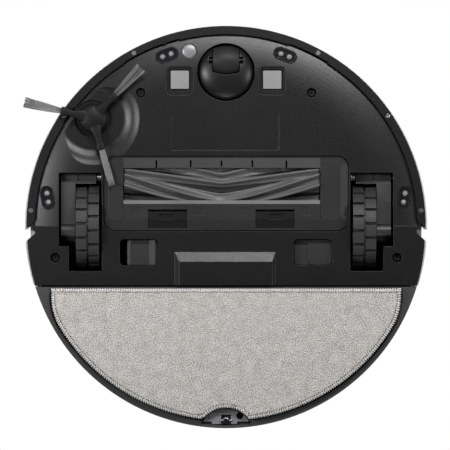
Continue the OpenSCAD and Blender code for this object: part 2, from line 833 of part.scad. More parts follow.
module speaker() {
    color([0.2, 0.2, 0.22]) translate([-103, 92, rear_deck_z + rear_deck_t + 0.2]) {
        cylinder(h = 6, r = 20, $fn = 64);
        translate([0, 0, 6]) cylinder(h = 8, r1 = 20, r2 = 12, $fn = 64);
        translate([0, 0, 14]) cylinder(h = 6, r = 11, $fn = 48);
    }
}

module fan_housing() {
    z0 = rear_deck_z + rear_deck_t + 0.2;
    color([0.25, 0.25, 0.26]) translate([fan_site[0], fan_site[1], z0]) difference() {
        union() {
            cylinder(h = 34, r = fan_r, $fn = 96);
            block(-fan_r - 4, 0, -14, 14, 6, 26);
        }
        translate([0, 0, 2]) cylinder(h = 40, r = fan_r - 2, $fn = 96);
        block(-fan_r - 6, -10, -12, 12, 8, 24);
    }
    color([0.6, 0.6, 0.62]) translate([fan_site[0], fan_site[1], z0 + 1.9]) {
        cylinder(h = 12, r = 15, $fn = 64);
        cylinder(h = 17, r = 2.5, $fn = 32);
    }
}

module fan_impeller() {
    z0 = rear_deck_z + rear_deck_t + 15;
    color([0.8, 0.8, 0.8]) translate([fan_site[0], fan_site[1], z0]) difference() {
        union() {
            cylinder(h = 1.6, r = 24, $fn = 64);
            cylinder(h = 10, r = 6, $fn = 48);
            for (i = [0:8]) rotate([0, 0, i * 40]) translate([5, 0, 1]) rotate([0, 0, 18])
                cube([18.4, 1.2, 8]);
        }
        translate([0, 0, -e]) cylinder(h = 6, r = 2.5 + run, $fn = 32);
    }
}

module vacuum_duct() {
    color([0.18, 0.18, 0.19]) difference() {
        along_x(-28, 28) polygon([
            [guard_y1 + 2.1, 20], [guard_y1 + 2.1, 42], [36, 62], [bin_front_wall_y - 0.2, 62],
            [bin_front_wall_y - 0.2, 40], [36, 40],
        ]);
        along_x(-26, 26) polygon([
            [guard_y1, 22], [guard_y1, 40], [guard_y1 + 2.4, 40], [37, 60], [bin_front_wall_y + e, 60],
            [bin_front_wall_y + e, 42], [35, 42], [guard_y1 + 2.4, 22],
        ]);
    }
}

module brush_motor() {
    color([0.5, 0.5, 0.52]) difference() {
        union() {
            block(93, 103.8, -52.6, -2, 13.4, 72);
            rod_x(58, 94, -17, 59, 12);
        }
        rod_x(92, 104, roller_y, roller_z, 5 + run);
    }
}

module charge_contacts() {
    color([0.75, 0.75, 0.76]) for (s = [-1, 1]) translate([s * contact_x, contact_y, contact_z])
        linear_extrude(3.8) rounded_rect(-7.9, -7.9, 7.9, 7.9, 0.8);
}

module cliff_unit(site, tilt) {
    translate([site[0], site[1], 0]) rotate([0, 0, tilt]) difference() {
        translate([0, 0, clear_z + 3]) linear_extrude(9) slot_2d(21, 11.5);
        for (x = [-3.9, 3.9]) translate([x, 0, 0]) cylinder(h = clear_z + 9, r = 3, $fn = 32);
        linear_extrude(clear_z + 4) slot_2d(18.4, 9);
    }
}

module cliff_housings() {
    color([0.1, 0.1, 0.1]) for (s = [-1, 1]) {
        cliff_unit([s * front_cliff[0], front_cliff[1]], s * front_cliff_tilt);
        cliff_unit([s * side_cliff[0], side_cliff[1]], -s * side_cliff_tilt);
    }
}

module cliff_lens_pair(site, tilt) {
    translate([site[0], site[1], 0]) rotate([0, 0, tilt]) for (x = [-3.9, 3.9])
        translate([x, 0, clear_z + 5.6]) {
            cylinder(h = 3, r = 2.6, $fn = 32);
            sphere(2.6, $fn = 32);
        }
}

module cliff_lenses() {
    color([0.8, 0.8, 0.82]) for (s = [-1, 1]) {
        cliff_lens_pair([s * front_cliff[0], front_cliff[1]], s * front_cliff_tilt);
        cliff_lens_pair([s * side_cliff[0], side_cliff[1]], -s * side_cliff_tilt);
    }
}

module carpet_sensor() {
    color([0.75, 0.75, 0.76]) translate([carpet_site[0], carpet_site[1], 0]) rotate_extrude($fn = 64)
        polygon(concat(
            [for (t = [0:9:90]) [6.5 * sin(t), clear_z + 3.6 - 1.8 * cos(t)]],
            [[6.5, clear_z + 10], [0, clear_z + 10]]
        ));
}

// ---------- drive units, drawn on the right and mirrored ----------

module suspension_pins() {
    color([0.7, 0.7, 0.72]) both_sides() rod_x(well_x0 - 1, well_x1 + 1, pivot_y, pivot_z, pin_r);
}

module suspension_springs() {
    wire = 0.6;
    color([0.6, 0.6, 0.62]) both_sides() for (i = [0:2])
        translate([well_x0 + 1 + i * 1.3, pivot_y, pivot_z]) rotate([0, 90, 0])
            rotate_extrude($fn = 48) translate([pin_r + 0.7, 0]) circle(wire, $fn = 24);
}

module wheel_arm() {
    // Knuckles round the pin, cross-bar, gearbox beside the wheel and the stub axle
    difference() {
        union() {
            for (x = [[113.2, 128.4], [129.2, arm_x1]]) rod_x(x[0], x[1], pivot_y, pivot_z, 3.4);
            block(113.2, 128.4, pivot_y, -37.4, pivot_z - 3.4, pivot_z + 6);
            block(129.2, arm_x1, pivot_y, -37.4, pivot_z - 3.4, pivot_z + 12);
            block(113.2, arm_x1, -40.4, -37.4, pivot_z - 3, pivot_z + 8);
            along_x(arm_x0, arm_x1) union() {
                translate([0, wheel_r]) circle(15, $fn = 96);
                translate([-38, wheel_r - 18]) square([36, 33]);
                translate([3.5, wheel_r - 13]) circle(6.5, $fn = 64);
            }
        }
        rod_x(100, 150, pivot_y, pivot_z, pin_r + run);
    }
    rod_x(110.8, arm_x0 + e, 0, wheel_r, axle_r);
}

module wheel_rim() {
    x0 = wheel_x - tyre_w / 2 + 0.6;
    x1 = wheel_x + tyre_w / 2 - 0.4;
    difference() {
        rod_x(x0, x1, 0, wheel_r, rim_r);
        rod_x(x0 - e, x0 + 5, 0, wheel_r, rim_r - 3);
        rod_x(x0 - e, x1 + e, 0, wheel_r, axle_r + run);
    }
    difference() {
        rod_x(x0, x0 + 6, 0, wheel_r, 8);
        rod_x(x0 - e, x0 + 7, 0, wheel_r, axle_r + run);
    }
    for (a = [0:60:300]) translate([0, 0, wheel_r]) rotate([a, 0, 0])
        block(x0 + 1, x0 + 6, -1.5, 1.5, 7.4, rim_r - 2);
}

module lug_gaps(x0, x1, offset_angle) {
    for (i = [0:lugs - 1]) translate([0, 0, wheel_r])
        rotate([offset_angle + i * 360 / lugs, 0, 0])
            block(x0, x1, -1.4, 1.4, wheel_r - lug_h, wheel_r + e);
}

module wheel_tyre() {
    x0 = wheel_x - tyre_w / 2;
    x1 = wheel_x + tyre_w / 2;
    difference() {
        rod_x(x0, x1, 0, wheel_r, wheel_r);
        rod_x(x0 - e, x1 + e, 0, wheel_r, rim_r);
        difference() {
            rod_x(wheel_x - 0.8, wheel_x + 0.8, 0, wheel_r, wheel_r + e);
            rod_x(wheel_x - e, wheel_x + e, 0, wheel_r, wheel_r - lug_h + 0.8);
        }
        lug_gaps(x0 - e, wheel_x, 5.6);
        lug_gaps(wheel_x, x1 + e, 5.6 + 180 / lugs);
    }
}

module wheel_arm_right() {
    color([0.13, 0.13, 0.14]) wheel_arm();
}

module wheel_arm_left() {
    color([0.13, 0.13, 0.14]) mirror([1, 0, 0]) wheel_arm();
}

module wheel_rim_right() {
    color([0.2, 0.2, 0.21]) wheel_rim();
}

module wheel_rim_left() {
    color([0.2, 0.2, 0.21]) mirror([1, 0, 0]) wheel_rim();
}

module wheel_tyre_right() {
    color([0.12, 0.12, 0.12]) wheel_tyre();
}

module wheel_tyre_left() {
    color([0.12, 0.12, 0.12]) mirror([1, 0, 0]) wheel_tyre();
}

// ---------- dock ports ----------

// A flap that is hinged along the right-hand edge of its port
module port_flap(hinge_x) {
    translate([hinge_x, port_y0 + 5, 16.2]) rotate([-90, 0, 0])
        cylinder(h = port_y1 - port_y0 - 10, r = 1, $fn = 32);
}

module port_flap_right() {
    color([0.3, 0.3, 0.31]) {
        translate([0, 0, 14.5]) linear_extrude(1.7)
            rounded_rect(71.8, port_y0 + 0.6, port_x1 - 0.4, port_y1 - 0.6, 4);
        translate([0, 0, 15.8]) linear_extrude(1.6)
            rounded_rect(port_x0 + 0.8, port_y0 + 0.6, 78, port_y1 - 0.6, 3.6);
        port_flap(port_x1 - 1.4);
    }
}

// This flap has a bevelled lip and a wedge beside its hinge
module port_flap_left() {
    color([0.3, 0.3, 0.31]) {
        intersection() {
            translate([0, port_y1, 0]) rotate([90, 0, 0]) linear_extrude(port_y1 - port_y0) polygon([
                [-86.2, 16.6], [-86.2, 15.9], [-83.4, 14.4], [-82.9, 15.2], [-66.8, 15.2],
                [-62, 12.4], [-59.3, 13.6], [-59.3, 16.6],
            ]);
            translate([0, 0, 10]) linear_extrude(10)
                rounded_rect(-92, port_y0 + 0.6, -59.3, port_y1 - 0.6, 3.6);
        }
        port_flap(-60.3);
    }
}

// ---------- mop module ----------

module tank_outline_2d() {
    intersection() {
        translate(rear_c) circle(rear_r, $fn = 180);
        translate([-far, module_y]) square([2 * far, far]);
    }
}

// The pad's outline, pulled in by the given distance
module pad_outline_2d(inset) {
    difference() {
        intersection() {
            translate(pad_arc_c) circle(pad_arc_r - inset, $fn = 180);
            translate([inset - pad_side_x, pad_front_y + inset]) square([2 * (pad_side_x - inset), far]);
            union() {
                translate([-pad_corner_x, 0]) square([2 * pad_corner_x, far]);
                translate([-far, 0]) square([2 * far, pad_corner_y]);
                for (s = [-1, 1]) translate([s * pad_corner_x, pad_corner_y])
                    circle(pad_corner_r - inset + pad_corner_extra, $fn = 180);
                translate(pad_arc_c) polygon([
                    [0, 0], [pad_corner_x * 3, pad_rise * 3], [0, far], [-pad_corner_x * 3, pad_rise * 3],
                ]);
            }
        }
        translate(cut_c) circle(cut_r + inset, $fn = 96);
    }
}

module water_tank() {
    color([0.22, 0.23, 0.23]) difference() {
        translate([0, 0, tank_z]) linear_extrude(tank_top - tank_z) tank_outline_2d();
        translate([0, 0, tank_z + 2]) linear_extrude(tank_top - tank_z - 4) intersection() {
            pad_outline_2d(3);
            translate([-far, module_y + 2.2]) square([2 * far, 98]);
        }
        // Groove round the pad
        translate([0, 0, tank_z - e]) linear_extrude(e + 3) difference() {
            pad_outline_2d(-groove_w);
            pad_outline_2d(0.6);
        }
        // Filler neck and the hollow that the release catch works in
        translate([76, far, 20]) rotate([90, 0, 0]) cylinder(h = far - 140, r = 7.6, $fn = 48);
        translate([dowel_site[0], dowel_site[1], 0]) cylinder(h = tank_z + 10, r = 3, $fn = 48);
        linear_extrude(tank_z + 4) intersection() {
            translate(cut_c) circle(cut_r + 0.2, $fn = 96);
            translate(rear_c) circle(rear_r - 2.4, $fn = 180);
        }
    }
}

module mop_plate() {
    color([0.35, 0.36, 0.36]) {
        translate([0, 0, pad_z + pad_t + 0.2]) linear_extrude(tank_z - pad_z - pad_t - 0.4)
            pad_outline_2d(1);
    }
}

module mop_pad() {
    color([0.73, 0.71, 0.69]) translate([0, 0, pad_z]) linear_extrude(pad_t) pad_outline_2d(0);
}

// Grey plate behind the pad's cut-out, with the catch's slot and a dowel hole
module catch_plate() {
    crease_y = 161.2;
    z0 = tank_z + 1.4;
    color([0.5, 0.5, 0.52]) difference() {
        intersection() {
            translate([0, 0, z0]) linear_extrude(2.6) difference() {
                translate(cut_c) circle(cut_r - 0.7, $fn = 96);
                translate([-far, 169.4]) square([far - 12.4, far]);
                translate([9.6, 169.4]) square([far, far]);
                translate([-far, 171.6]) square([2 * far, far]);
                translate(dowel_site) circle(3, $fn = 48);
                translate([-4.2, 163.4]) square([8.4, 20]);
            }
            along_x(-far, far) polygon([
                [150, z0 + 2.6], [150, z0 + 2], [crease_y, z0 + 0.5], [crease_y + 0.6, z0],
                [180, z0], [180, z0 + 2.6],
            ]);
        }
        translate([-15.6, 165.5, 0]) cylinder(h = z0 + 0.7, r = 1.3, $fn = 32);
    }
}

// Cross-shaped slider of the module's release catch
module mop_latch() {
    z0 = tank_z + 0.4;
    color([0.07, 0.07, 0.07]) {
        block(-2.6, 2.6, 165.2, 168.2, z0, z0 + 3);
        block(-3.3, 3.3, 168.2, 171.2, z0 + 0.3, z0 + 3);
        block(-3.8, 3.8, 167, 169, z0 + 1.6, z0 + 3);
    }
}

// The plug's outer end follows the tank's wall
module tank_plug() {
    color([0.1, 0.1, 0.1]) intersection() {
        translate([76, far, 20]) rotate([90, 0, 0]) cylinder(h = far - 149, r = 7.3, $fn = 48);
        translate([0, 0, 10]) linear_extrude(20) translate(rear_c) circle(rear_r - 0.3, $fn = 180);
    }
}

// ---------- dust bin ----------

module bin_outline_2d(inset) {
    intersection() {
        circle(shell_r - inset, $fn = 180);
        translate([-bin_half_w + inset, bin_y0 + inset]) square([2 * (bin_half_w - inset), far]);
    }
}

module bin_body() {
    color([0.3, 0.31, 0.32]) difference() {
        translate([0, 0, bin_z0]) linear_extrude(bin_z1 - bin_z0 - 2) bin_outline_2d(0);
        translate([0, 0, bin_z0 + wall]) linear_extrude(far) bin_outline_2d(wall);
        block(-25, 25, bin_y0 - e, bin_y0 + 4, 43, 59);
        for (s = [-1, 1]) block(s * 56 - 6, s * 56 + 6, bin_y0 - e, bin_y0 + 4, 39, 47);
        block(-15, 15, 170, far, 48, 62);
    }
    // Pocket behind the release button
    color([0.3, 0.31, 0.32]) difference() {
        block(-17, 17, 165, 173, 46, 64);
        block(-15, 15, 167, 180, 48, 62);
    }
}

module bin_lid() {
    color([0.6, 0.62, 0.64]) translate([0, 0, bin_z1 - 2]) linear_extrude(2) bin_outline_2d(0.1);
}

module bin_filter() {
    color([0.9, 0.9, 0.88]) difference() {
        block(38, 63.6, 70, 112, bin_z0 + wall + 0.2, 72);
        for (y = [72:4:108]) block(36, 58, y, y + 2, 44, 70);
    }
}

module bin_button() {
    color([0.15, 0.15, 0.16]) translate([0, 0, 48.4]) linear_extrude(13.2) intersection() {
        circle(shell_r + 0.2, $fn = 180);
        translate([-14.6, 170.4]) square([29.2, 10]);
    }
}

chassis();
chassis_screws();
top_plate();
side_shell();
battery_case();
battery_cells();
main_board();
speaker();
fan_housing();
fan_impeller();
vacuum_duct();
brush_motor();
side_brush_motor();
suspension_pins();
suspension_springs();
charge_contacts();
cliff_housings();
cliff_lenses();
carpet_sensor();
lidar_base();
lidar_rotor();
lidar_cap();
power_button();
home_button();
status_light();
bumper_cover();
bumper_skirt();
bumper_screws();
bumper_window();
bumper_springs();
caster_fork();
caster_wheel();
caster_axle();
brush_core();
brush_blades();
brush_bearing();
brush_guard();
guard_strip();
guard_latch_left();
guard_latch_right();
side_brush_hub();
side_brush_bristles();
water_tank();
mop_plate();
mop_pad();
catch_plate();
mop_latch();
tank_plug();
bin_body();
bin_lid();
bin_filter();
bin_button();
wheel_arm_left();
wheel_arm_right();
wheel_rim_left();
wheel_rim_right();
wheel_tyre_left();
wheel_tyre_right();
port_flap_left();
port_flap_right();
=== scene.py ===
"""Robot vacuum seen from below: materials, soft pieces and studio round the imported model."""

import json
import math
import random

import bpy
from mathutils import Matrix, Vector
from mathutils.bvhtree import BVHTree


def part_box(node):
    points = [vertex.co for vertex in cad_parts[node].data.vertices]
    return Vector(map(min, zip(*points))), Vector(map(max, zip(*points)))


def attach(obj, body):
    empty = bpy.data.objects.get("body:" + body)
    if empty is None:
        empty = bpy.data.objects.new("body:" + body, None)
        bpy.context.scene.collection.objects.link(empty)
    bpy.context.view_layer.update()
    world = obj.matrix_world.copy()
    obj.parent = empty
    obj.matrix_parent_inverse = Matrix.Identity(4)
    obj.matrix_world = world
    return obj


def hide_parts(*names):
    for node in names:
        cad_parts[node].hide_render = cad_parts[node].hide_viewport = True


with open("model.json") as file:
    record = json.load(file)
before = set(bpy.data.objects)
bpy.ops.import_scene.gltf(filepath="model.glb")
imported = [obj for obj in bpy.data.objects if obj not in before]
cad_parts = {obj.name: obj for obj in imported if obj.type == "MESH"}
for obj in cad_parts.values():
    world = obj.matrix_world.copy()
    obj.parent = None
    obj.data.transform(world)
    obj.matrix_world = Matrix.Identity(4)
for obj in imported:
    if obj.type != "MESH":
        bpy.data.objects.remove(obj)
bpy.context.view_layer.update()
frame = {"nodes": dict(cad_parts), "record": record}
MM = 0.001
SCENE = bpy.context.scene


# ---------- camera, floor and lights ----------

# Width of the picture at the underside, and the place its middle looks at
VIEW_WIDTH = 391.5 * MM
VIEW_MIDDLE = (-0.9 * MM, -1.5 * MM)
LENS = 400.0
SENSOR = 36.0
FLOOR_SIZE = 8
FLOOR_PAPER = (0.8, 0.8, 0.79, 1)
# Strength of the ambient light, and how far to each side of the horizon it changes over
AMBIENT_BELOW = 0.02
AMBIENT_ABOVE = 0.5
AMBIENT_BLEND = 0.5
MIDDLE = (0, 0, 0.01)
# Name, place, target, size in metres and power in watts of each lamp
LAMPS = (
    ("front_near", (0.02, -0.56, -0.66), (0, -0.12, 0.01), (0.36, 0.10), 2.5),
    ("front_right", (0.28, -0.55, -0.66), (0.05, -0.12, 0.01), (0.2, 0.10), 2.4),
    ("left_near", (-0.62, -0.12, -0.56), (-0.1, -0.02, 0.01), (0.16, 0.34), 3.1),
    ("right_near", (0.78, -0.05, -0.5), (0.1, -0.02, 0.01), (0.16, 0.34), 1.6),
    ("rear_near", (0.0, 0.95, -0.62), (0, 0.12, 0.01), (0.5, 0.16), 1.6),
    ("top_soft", (-0.6, -0.7, 2.2), MIDDLE, (1.8, 1.8), 30),
    ("top_rim", (1.4, 1.2, 1.4), MIDDLE, (0.8, 0.8), 12),
)


def make_camera():
    """A long lens below the robot looks straight up, with the bumper at the top."""
    data = bpy.data.cameras.new("camera")
    data.lens = LENS
    data.sensor_width = SENSOR
    data.clip_end = 50
    camera = bpy.data.objects.new("camera", data)
    SCENE.collection.objects.link(camera)
    distance = VIEW_WIDTH * LENS / SENSOR
    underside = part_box("charge_contacts")[0].z
    camera.location = (*VIEW_MIDDLE, underside - distance)
    camera.rotation_euler = (math.pi, 0, 0)
    SCENE.camera = camera


def area_light(name, place, target, size, power):
    """A rectangular lamp that faces its target."""
    data = bpy.data.lights.new(name, "AREA")
    data.shape = "RECTANGLE"
    data.size, data.size_y = size
    data.energy = power
    lamp = bpy.data.objects.new(name, data)
    lamp.location = place
    lamp.rotation_euler = (Vector(target) - Vector(place)).to_track_quat("-Z", "Y").to_euler()
    SCENE.collection.objects.link(lamp)


def make_floor():
    """Pale from above, and open from below, so that the underside stays in view."""
    bpy.ops.mesh.primitive_plane_add(size=FLOOR_SIZE)
    floor = bpy.context.object
    floor.name = "floor"
    mat = bpy.data.materials.new("floor_paper")
    mat.use_nodes = True
    tree = mat.node_tree
    tree.nodes.clear()
    out = tree.nodes.new("ShaderNodeOutputMaterial")
    mix = tree.nodes.new("ShaderNodeMixShader")
    paper = tree.nodes.new("ShaderNodeBsdfDiffuse")
    paper.inputs["Color"].default_value = FLOOR_PAPER
    clear = tree.nodes.new("ShaderNodeBsdfTransparent")
    side = tree.nodes.new("ShaderNodeNewGeometry")
    tree.links.new(side.outputs["Backfacing"], mix.inputs["Fac"])
    tree.links.new(paper.outputs["BSDF"], mix.inputs[1])
    tree.links.new(clear.outputs["BSDF"], mix.inputs[2])
    tree.links.new(mix.outputs["Shader"], out.inputs["Surface"])
    floor.data.materials.append(mat)
    floor.visible_shadow = False
    floor.visible_diffuse = False
    floor.visible_glossy = False


def make_world():
    """White behind the object; the ambient light is dim from below and bright from above."""
    world = bpy.data.worlds.new("studio")
    SCENE.world = world
    world.use_nodes = True
    tree = world.node_tree
    tree.nodes.clear()
    out = tree.nodes.new("ShaderNodeOutputWorld")
    mix = tree.nodes.new("ShaderNodeMixShader")
    seen = tree.nodes.new("ShaderNodeBackground")
    seen.inputs["Color"].default_value = (1, 1, 1, 1)
    ambient = tree.nodes.new("ShaderNodeBackground")
    ambient.inputs["Color"].default_value = (1, 1, 1, 1)
    coords = tree.nodes.new("ShaderNodeTexCoord")
    split = tree.nodes.new("ShaderNodeSeparateXYZ")
    rise = tree.nodes.new("ShaderNodeMapRange")
    rise.interpolation_type = "SMOOTHSTEP"
    rise.inputs["From Min"].default_value = -AMBIENT_BLEND
    rise.inputs["From Max"].default_value = AMBIENT_BLEND
    rise.inputs["To Min"].default_value = AMBIENT_BELOW
    rise.inputs["To Max"].default_value = AMBIENT_ABOVE
    path = tree.nodes.new("ShaderNodeLightPath")
    tree.links.new(coords.outputs["Generated"], split.inputs["Vector"])
    tree.links.new(split.outputs["Z"], rise.inputs["Value"])
    tree.links.new(rise.outputs["Result"], ambient.inputs["Strength"])
    tree.links.new(path.outputs["Is Camera Ray"], mix.inputs["Fac"])
    tree.links.new(ambient.outputs["Background"], mix.inputs[1])
    tree.links.new(seen.outputs["Background"], mix.inputs[2])
    tree.links.new(mix.outputs["Shader"], out.inputs["Surface"])


make_camera()
make_floor()
make_world()
for lamp_values in LAMPS:
    area_light(*lamp_values)
SCENE.view_settings.view_transform = "Standard"
SCENE.view_settings.look = "None"


# ---------- materials ----------

MATERIALS = {}
# Sockets of a mix node that mixes colours
COLOR_A, COLOR_B, COLOR_OUT = 6, 7, 2
# Most of the paler tone that edges take, partly wear and partly a painted highlight, and how far
# that tone goes towards mid grey
EDGE_WEAR_AND_HIGHLIGHT = 0.35
PALE_EDGE_TO_GREY = 0.25


class Nodes:
    """Short calls for wiring one material."""

    def __init__(self, name):
        self.mat = bpy.data.materials.new(name)
        self.mat.use_nodes = True
        self.tree = self.mat.node_tree
        self.shader = self.tree.nodes["Principled BSDF"]
        self.coords = self.new("ShaderNodeTexCoord").outputs["Object"]

    def new(self, kind, **values):
        """A node of that kind, with its settings."""
        node = self.tree.nodes.new(kind)
        for key, value in values.items():
            setattr(node, key, value)
        return node

    def link(self, source, target):
        self.tree.links.new(source, target)

    def noise(self, scale, detail=3, rough=0.5, stretch=(1, 1, 1)):
        """Noise with the given cells per metre."""
        place = self.new("ShaderNodeMapping")
        place.inputs["Scale"].default_value = stretch
        self.link(self.coords, place.inputs["Vector"])
        noise = self.new("ShaderNodeTexNoise")
        noise.inputs["Scale"].default_value = scale
        noise.inputs["Detail"].default_value = detail
        noise.inputs["Roughness"].default_value = rough
        self.link(place.outputs["Vector"], noise.inputs["Vector"])
        return noise.outputs["Fac"]

    def span(self, value, low, high, from_low=0.3, from_high=0.7):
        """Maps the range the value comes in to low and high."""
        node = self.new("ShaderNodeMapRange")
        node.inputs["From Min"].default_value = from_low
        node.inputs["From Max"].default_value = from_high
        node.inputs["To Min"].default_value = low
        node.inputs["To Max"].default_value = high
        self.link(value, node.inputs["Value"])
        return node.outputs["Result"]

    def math(self, operation, a, b):
        """Sums, products and the like of two values, each a number or a socket."""
        node = self.new("ShaderNodeMath", operation=operation)
        for socket, value in zip(node.inputs, (a, b)):
            if isinstance(value, (int, float)):
                socket.default_value = value
            else:
                self.link(value, socket)
        return node.outputs["Value"]

    def mix(self, factor, a, b):
        """A colour between a and b."""
        node = self.new("ShaderNodeMix", data_type="RGBA")
        sockets = (node.inputs["Factor"], node.inputs[COLOR_A], node.inputs[COLOR_B])
        for socket, value in zip(sockets, (factor, a, b)):
            if isinstance(value, (int, float)):
                socket.default_value = value
            elif isinstance(value, tuple):
                socket.default_value = (*value[:3], 1)
            else:
                self.link(value, socket)
        return node.outputs[COLOR_OUT]

    def bump(self, height, strength, distance, normal=None):
        """A normal tilted by the height, on top of another normal where one is given."""
        node = self.new("ShaderNodeBump")
        node.inputs["Strength"].default_value = strength
        node.inputs["Distance"].default_value = distance
        self.link(height, node.inputs["Height"])
        if normal is not None:
            self.link(normal, node.inputs["Normal"])
        return node.outputs["Normal"]


def shade(color, factor):
    """The colour made darker or lighter."""
    return tuple(min(1.0, c * factor) for c in color[:3])


def moulded(name, color, rough, grain=2600, grain_depth=0.00004, tone=0.12, radius=0.0004,
            metallic=0.0, coat=0.0, specular=0.5, brushed=(1, 1, 1)):
    """Moulded plastic or plain metal: mottled tone, fine grain, soft edges, painted paler as wear
    and highlight.
    """
    n = Nodes(name)
    soft = n.new("ShaderNodeBevel", samples=4)
    soft.inputs["Radius"].default_value = radius
    flat = n.new("ShaderNodeNewGeometry").outputs["Normal"]
    agree = n.new("ShaderNodeVectorMath", operation="DOT_PRODUCT")
    n.link(soft.outputs["Normal"], agree.inputs[0])
    n.link(flat, agree.inputs[1])
    edge = n.span(agree.outputs["Value"], 1.0, 0.0, 0.86, 0.995)
    # Paler edges: partly wear, partly a painted highlight along the edges
    pale_edge = n.math("MULTIPLY", edge, n.span(n.noise(420), 0.0, EDGE_WEAR_AND_HIGHLIGHT))
    base = n.mix(n.span(n.noise(34, 5), 0.0, 1.0), shade(color, 1 - tone), shade(color, 1 + tone))
    paler = tuple(c + (0.5 - c) * PALE_EDGE_TO_GREY for c in color[:3])
    n.link(n.mix(pale_edge, base, paler), n.shader.inputs["Base Color"])
    matte = n.noise(grain * 0.3, 4, 0.6, brushed)
    n.link(n.span(matte, rough - 0.06, rough + 0.08), n.shader.inputs["Roughness"])
    height = n.noise(grain, 2, 0.5, brushed)
    n.link(n.bump(height, 0.5, grain_depth, soft.outputs["Normal"]), n.shader.inputs["Normal"])
    n.shader.inputs["Metallic"].default_value = metallic
    n.shader.inputs["Coat Weight"].default_value = coat
    n.shader.inputs["Coat Roughness"].default_value = 0.12
    n.shader.inputs["Specular IOR Level"].default_value = specular
    MATERIALS[name] = n.mat
    return n


BLACK = (0.011, 0.011, 0.0115)
moulded("black_plastic", BLACK, 0.34, radius=0.0007)
moulded("skirt_plastic", (0.009, 0.009, 0.010), 0.44, specular=0.3)
moulded("white_shell", (0.76, 0.76, 0.76), 0.28, grain=1500, grain_depth=0.00001, tone=0.02,
        coat=0.4)
moulded("grey_tank", (0.066, 0.070, 0.068), 0.40)
moulded("smoked_bin", (0.07, 0.072, 0.075), 0.22, coat=0.5)
moulded("clear_lid", (0.30, 0.32, 0.34), 0.18, coat=0.5)
moulded("lidar_black", (0.012, 0.012, 0.013), 0.24, coat=0.5)
moulded("ir_window", (0.006, 0.004, 0.006), 0.08, grain=900, grain_depth=0.000004, coat=1.0)
moulded("button_white", (0.78, 0.78, 0.78), 0.3, tone=0.02)
moulded("light_diffuser", (0.62, 0.76, 0.92), 0.35, tone=0.03)
moulded("screw_black", (0.03, 0.03, 0.031), 0.38, metallic=0.6, radius=0.0002)
moulded("plate_grey", (0.25, 0.25, 0.265), 0.42)
moulded("screw_steel", (0.55, 0.55, 0.55), 0.3, metallic=1.0, radius=0.0002, brushed=(1, 6, 1))
moulded("spring_steel", (0.6, 0.6, 0.62), 0.28, metallic=1.0, radius=0.0002)
moulded("contact_metal", (0.35, 0.35, 0.35), 0.44, metallic=0.35, radius=0.0005, brushed=(1, 9, 1))
moulded("chrome_dome", (0.30, 0.30, 0.31), 0.36, metallic=0.3, grain_depth=0.000004)
moulded("sensor_black", (0.008, 0.008, 0.009), 0.3, coat=0.3)
moulded("battery_wrap", (0.02, 0.03, 0.09), 0.4)
moulded("cell_wrap", (0.03, 0.2, 0.32), 0.3)
moulded("circuit_board", (0.01, 0.10, 0.04), 0.4, grain=5200)
moulded("speaker_black", (0.03, 0.03, 0.032), 0.6)
moulded("motor_metal", (0.45, 0.45, 0.47), 0.35, metallic=1.0, brushed=(1, 8, 1))
moulded("fan_grey", (0.030, 0.030, 0.031), 0.42)
moulded("impeller_white", (0.65, 0.65, 0.65), 0.4, tone=0.05)
moulded("brush_plastic", (0.018, 0.018, 0.018), 0.5)
moulded("blade_rubber", (0.115, 0.115, 0.118), 0.42, grain=900, grain_depth=0.00003, specular=0.6)
moulded("strip_rubber", (0.19, 0.19, 0.19), 0.5)
moulded("arm_rubber", (0.008, 0.008, 0.0085), 0.46, grain=1700, specular=0.3)
moulded("bristle_grey", (0.25, 0.25, 0.255), 0.4, tone=0.3, radius=0.0001)
moulded("wheel_plastic", (0.058, 0.058, 0.059), 0.40)
moulded("tyre_rubber", (0.040, 0.040, 0.040), 0.55, grain=1400, grain_depth=0.00006)
moulded("filter_white", (0.72, 0.72, 0.70), 0.8, tone=0.06, grain=3800, grain_depth=0.00006)


def lens_glass():
    """The cliff sensors' small glossy lenses, a little uneven in tone."""
    n = Nodes("lens")
    tone = n.mix(n.span(n.noise(300), 0, 1), (0.22, 0.22, 0.24), (0.34, 0.34, 0.36))
    n.link(tone, n.shader.inputs["Base Color"])
    n.link(n.span(n.noise(900), 0.04, 0.1), n.shader.inputs["Roughness"])
    n.shader.inputs["Coat Weight"].default_value = 1.0
    MATERIALS["lens"] = n.mat


def fabric(name, dark, light, fleck_scale, contrast, tinted=0.06):
    """Microfibre: a salt-and-pepper pile with faint tinted flecks."""
    n = Nodes(name)
    fleck = n.noise(fleck_scale, 1, 0.6)
    fine = n.noise(fleck_scale * 2.3, 2, 0.6)
    coarse = n.noise(120, 3)
    value = n.math("ADD", n.math("MULTIPLY", fleck, 0.62), n.math("MULTIPLY", fine, 0.28))
    value = n.math("ADD", value, n.math("MULTIPLY", coarse, 0.10))
    tone = n.mix(n.span(value, 0, 1, 0.5 - contrast, 0.5 + contrast), dark, light)
    warm = (1.0, 1.0 - tinted * 0.4, 1.0 - tinted)
    cool = (1.0 - tinted * 0.5, 1.0 - tinted * 0.8, 1.0)
    tint = n.mix(n.span(n.noise(430, 1), 0, 1, 0.4, 0.6), warm, cool)
    product = n.new("ShaderNodeMix", data_type="RGBA", blend_type="MULTIPLY")
    product.inputs["Factor"].default_value = 1.0
    n.link(tone, product.inputs[COLOR_A])
    n.link(tint, product.inputs[COLOR_B])
    n.link(product.outputs[COLOR_OUT], n.shader.inputs["Base Color"])
    n.link(n.span(coarse, 0.85, 0.98), n.shader.inputs["Roughness"])
    n.link(n.bump(value, 0.8, 0.0005), n.shader.inputs["Normal"])
    n.shader.inputs["Sheen Weight"].default_value = 0.3
    n.shader.inputs["Sheen Roughness"].default_value = 0.5
    n.shader.inputs["Specular IOR Level"].default_value = 0.1
    MATERIALS[name] = n.mat


